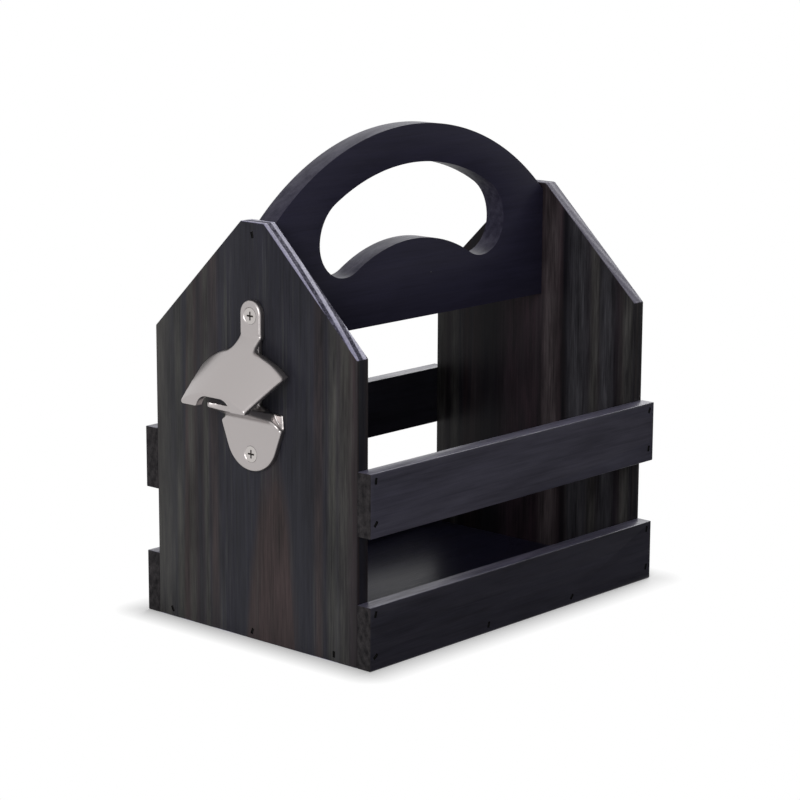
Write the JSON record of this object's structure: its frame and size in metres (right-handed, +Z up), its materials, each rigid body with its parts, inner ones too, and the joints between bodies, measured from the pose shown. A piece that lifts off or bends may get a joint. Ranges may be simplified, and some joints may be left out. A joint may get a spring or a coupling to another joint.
{
  "type": "bottle caddy",
  "caption": "Open wooden bottle caddy with gabled end boards, slatted sides, an arched handle board with a hand hole and a cast bottle opener screwed to one end.",
  "frame": {"origin": "middle of the box of boards (opener left out) at floor level", "axes": "+X along the length, away from the end with the bottle opener; +Y across the width, away from the front slats; +Z up"},
  "size_m": [0.2586, 0.1588, 0.254],
  "materials": {
    "end_wood": "satin black stain, vertical grain",
    "slat_wood": "satin black stain, lengthwise grain",
    "base_wood": "satin black stain, lengthwise grain",
    "handle_wood": "satin black stain, sanded smooth",
    "nickel": "satin nickel plating on cast metal",
    "screw_nickel": "bright nickel plating",
    "brad_steel": "dark steel under stain"
  },
  "bodies": {
    "root": {"left_end_board": "end_wood", "right_end_board": "end_wood", "base_board": "base_wood", "handle_board": "handle_wood", "front_lower_slat": "slat_wood", "front_upper_slat": "slat_wood", "rear_lower_slat": "slat_wood", "rear_upper_slat": "slat_wood", "bottle_opener": "nickel", "opener_screws": "screw_nickel", "front_lower_slat_brads": "brad_steel", "front_upper_slat_brads": "brad_steel", "rear_lower_slat_brads": "brad_steel", "rear_upper_slat_brads": "brad_steel", "front_base_brads": "brad_steel", "rear_base_brads": "brad_steel", "left_base_brads": "brad_steel", "right_base_brads": "brad_steel", "left_handle_brads": "brad_steel", "right_handle_brads": "brad_steel"}
  },
  "joints": []
}
